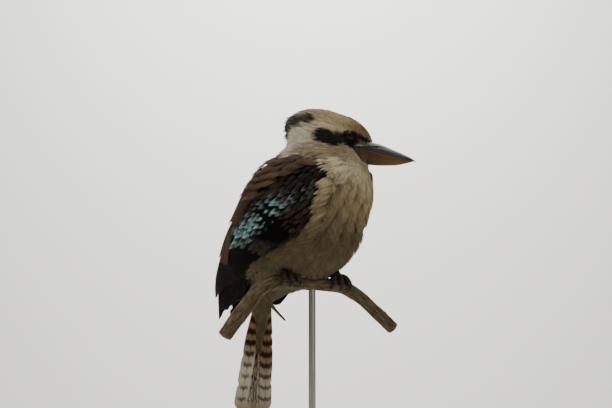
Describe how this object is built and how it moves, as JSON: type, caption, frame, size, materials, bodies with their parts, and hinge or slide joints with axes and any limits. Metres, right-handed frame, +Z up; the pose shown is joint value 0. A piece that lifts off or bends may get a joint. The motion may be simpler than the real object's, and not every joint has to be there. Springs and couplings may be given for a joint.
{
  "type": "laughing kookaburra model",
  "caption": "Life-size kookaburra perched on a short cut branch, held up by a plain round display stand.",
  "frame": {"origin": "centre of the underside of the round stand base, where the part rests on the floor", "axes": "+Z up, +X to the right of the picture's view, roughly the way the head and bill point, -Y towards the viewer"},
  "size_m": [0.2011, 0.1727, 0.3356],
  "materials": {
    "breast_feather": "soft matt feather, off-white and buff",
    "head_feather": "soft matt feather, cream with brown streaks and a dark eye stripe",
    "flight_feather": "sleek dark brown feather with pale blue covert tips",
    "tail_feather": "rufous feather barred with black, white tips",
    "upper_bill_horn": "blackish horn, satin",
    "lower_bill_horn": "pale brown horn, satin",
    "eye_gloss": "dark brown glass eye, polished",
    "foot_scale": "dark scaly skin with black claws",
    "bark": "rough grey-brown bark",
    "stained_oak": "dark stained oak, satin",
    "brushed_steel": "satin steel"
  },
  "bodies": {
    "root": {"torso": "breast_feather", "neck": "breast_feather", "head": "head_feather", "bill_upper": "upper_bill_horn", "bill_lower": "lower_bill_horn", "eye_left": "eye_gloss", "eye_right": "eye_gloss", "wing_left": "flight_feather", "wing_right": "flight_feather", "tail": "tail_feather", "leg_left": "foot_scale", "leg_right": "foot_scale", "perch": "bark", "stand_base": "stained_oak", "stand_rod": "brushed_steel"}
  },
  "joints": []
}
